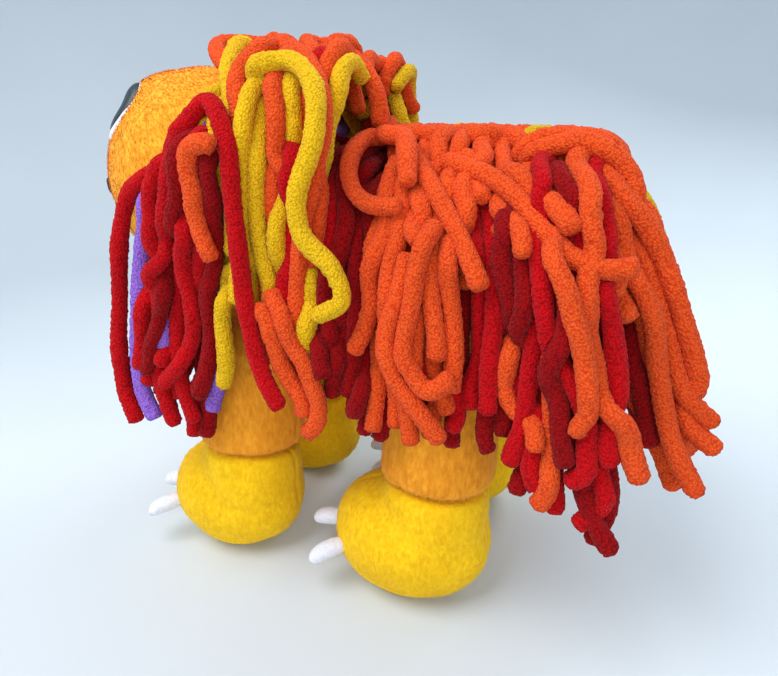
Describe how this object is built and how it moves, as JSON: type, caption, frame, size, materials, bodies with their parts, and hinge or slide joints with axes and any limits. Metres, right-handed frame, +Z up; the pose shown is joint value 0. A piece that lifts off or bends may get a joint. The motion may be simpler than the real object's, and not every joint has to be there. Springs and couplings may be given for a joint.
{
  "type": "stuffed plush animal",
  "caption": "Four-legged stuffed plush animal with a round head, yellow feet with felt claws, and a coat of hanging chenille strands.",
  "frame": {"origin": "on the ground, at the middle of the box round the body, head, legs and fringes", "axes": "+Z up, -Y towards the nose, +X towards the animal's left side"},
  "size_m": [0.1282, 0.2462, 0.2021],
  "materials": {
    "plush_golden": "short pile",
    "plush_yellow": "short pile",
    "felt_white": "smooth felt",
    "eye_print": "satin",
    "embroidery_black": "thread",
    "chenille_red": "fuzzy",
    "chenille_crimson": "fuzzy",
    "chenille_orange": "fuzzy",
    "chenille_gold": "fuzzy",
    "chenille_lilac": "fuzzy"
  },
  "bodies": {
    "torso": {"torso": "plush_golden", "flank_fringe_left": "chenille_crimson", "flank_fringe_right": "chenille_crimson", "spine_fringe": "chenille_orange", "rump_fringe": "chenille_orange", "strand_flank_crimson": "chenille_crimson", "strand_flank_orange_1": "chenille_orange", "strand_flank_orange_2": "chenille_orange", "strand_flank_red_1": "chenille_red", "strand_flank_red_2": "chenille_red", "strand_back_orange_long": "chenille_orange", "strand_back_orange_short": "chenille_orange", "strand_rump_orange_1": "chenille_orange", "strand_rump_orange_2": "chenille_orange", "strand_rump_red": "chenille_crimson"},
    "neck": {"neck": "plush_golden"},
    "head": {"head": "plush_golden", "eye_white_left": "felt_white", "eye_white_right": "felt_white", "eye_pupil_left": "eye_print", "eye_pupil_right": "eye_print", "mouth": "embroidery_black", "cheek_fringe_left": "chenille_red", "cheek_fringe_right": "chenille_red", "crown_fringe": "chenille_orange", "strand_cheek_red_1": "chenille_red", "strand_cheek_lilac": "chenille_lilac", "strand_cheek_red_2": "chenille_red", "strand_cheek_red_3": "chenille_red", "strand_cheek_red_long": "chenille_red", "strand_mane_gold_1": "chenille_gold", "strand_mane_gold_2": "chenille_gold", "strand_mane_gold_3": "chenille_gold", "strand_mane_orange": "chenille_orange", "strand_crown_loop_front": "chenille_orange", "strand_crown_loop_back": "chenille_orange"},
    "leg_front_left": {"leg_front_left": "plush_golden", "foot_front_left": "plush_yellow", "sole_front_left": "plush_yellow", "claw_front_left_inner": "felt_white", "claw_front_left_middle": "felt_white", "claw_front_left_outer": "felt_white"},
    "leg_front_right": {"leg_front_right": "plush_golden", "foot_front_right": "plush_yellow", "sole_front_right": "plush_yellow", "claw_front_right_inner": "felt_white", "claw_front_right_middle": "felt_white", "claw_front_right_outer": "felt_white"},
    "leg_hind_left": {"leg_hind_left": "plush_golden", "foot_hind_left": "plush_yellow", "sole_hind_left": "plush_yellow", "claw_hind_left_inner": "felt_white", "claw_hind_left_middle": "felt_white", "claw_hind_left_outer": "felt_white"},
    "leg_hind_right": {"leg_hind_right": "plush_golden", "foot_hind_right": "plush_yellow", "sole_hind_right": "plush_yellow", "claw_hind_right_inner": "felt_white", "claw_hind_right_middle": "felt_white", "claw_hind_right_outer": "felt_white"}
  },
  "joints": [
    {"name": "neck_turn", "type": "hinge", "parent": "torso", "child": "neck", "pos_m": [0, -0.02, 0.128], "axis": [0, 0, 1], "range_deg": [-8, 8], "stiffness_Nm_per_rad": 0.8, "deforming": ["strand_cheek_red_1", "strand_cheek_lilac", "strand_cheek_red_2", "strand_cheek_red_3", "strand_cheek_red_long", "strand_mane_gold_1", "strand_mane_gold_2", "strand_mane_gold_3", "strand_mane_orange", "strand_crown_loop_front", "strand_crown_loop_back"]},
    {"name": "neck_nod", "type": "hinge", "parent": "neck", "child": "head", "pos_m": [0, -0.02, 0.128], "axis": [1, 0, 0], "range_deg": [-6, 6], "stiffness_Nm_per_rad": 2, "deforming": ["strand_cheek_red_1", "strand_cheek_lilac", "strand_cheek_red_2", "strand_cheek_red_3", "strand_cheek_red_long", "strand_mane_gold_1", "strand_mane_gold_2", "strand_mane_gold_3", "strand_mane_orange", "strand_crown_loop_front", "strand_crown_loop_back"]},
    {"name": "hip_front_left", "type": "hinge", "parent": "torso", "child": "leg_front_left", "pos_m": [0.024, -0.037, 0.088], "axis": [1, 0, 0], "range_deg": [-15, 1], "stiffness_Nm_per_rad": 0.6},
    {"name": "hip_front_right", "type": "hinge", "parent": "torso", "child": "leg_front_right", "pos_m": [-0.024, -0.037, 0.088], "axis": [1, 0, 0], "range_deg": [-15, 1], "stiffness_Nm_per_rad": 0.6},
    {"name": "hip_hind_left", "type": "hinge", "parent": "torso", "child": "leg_hind_left", "pos_m": [0.024, 0.043, 0.088], "axis": [1, 0, 0], "range_deg": [-1, 15], "stiffness_Nm_per_rad": 0.6},
    {"name": "hip_hind_right", "type": "hinge", "parent": "torso", "child": "leg_hind_right", "pos_m": [-0.024, 0.043, 0.088], "axis": [1, 0, 0], "range_deg": [-1, 15], "stiffness_Nm_per_rad": 0.6}
  ]
}
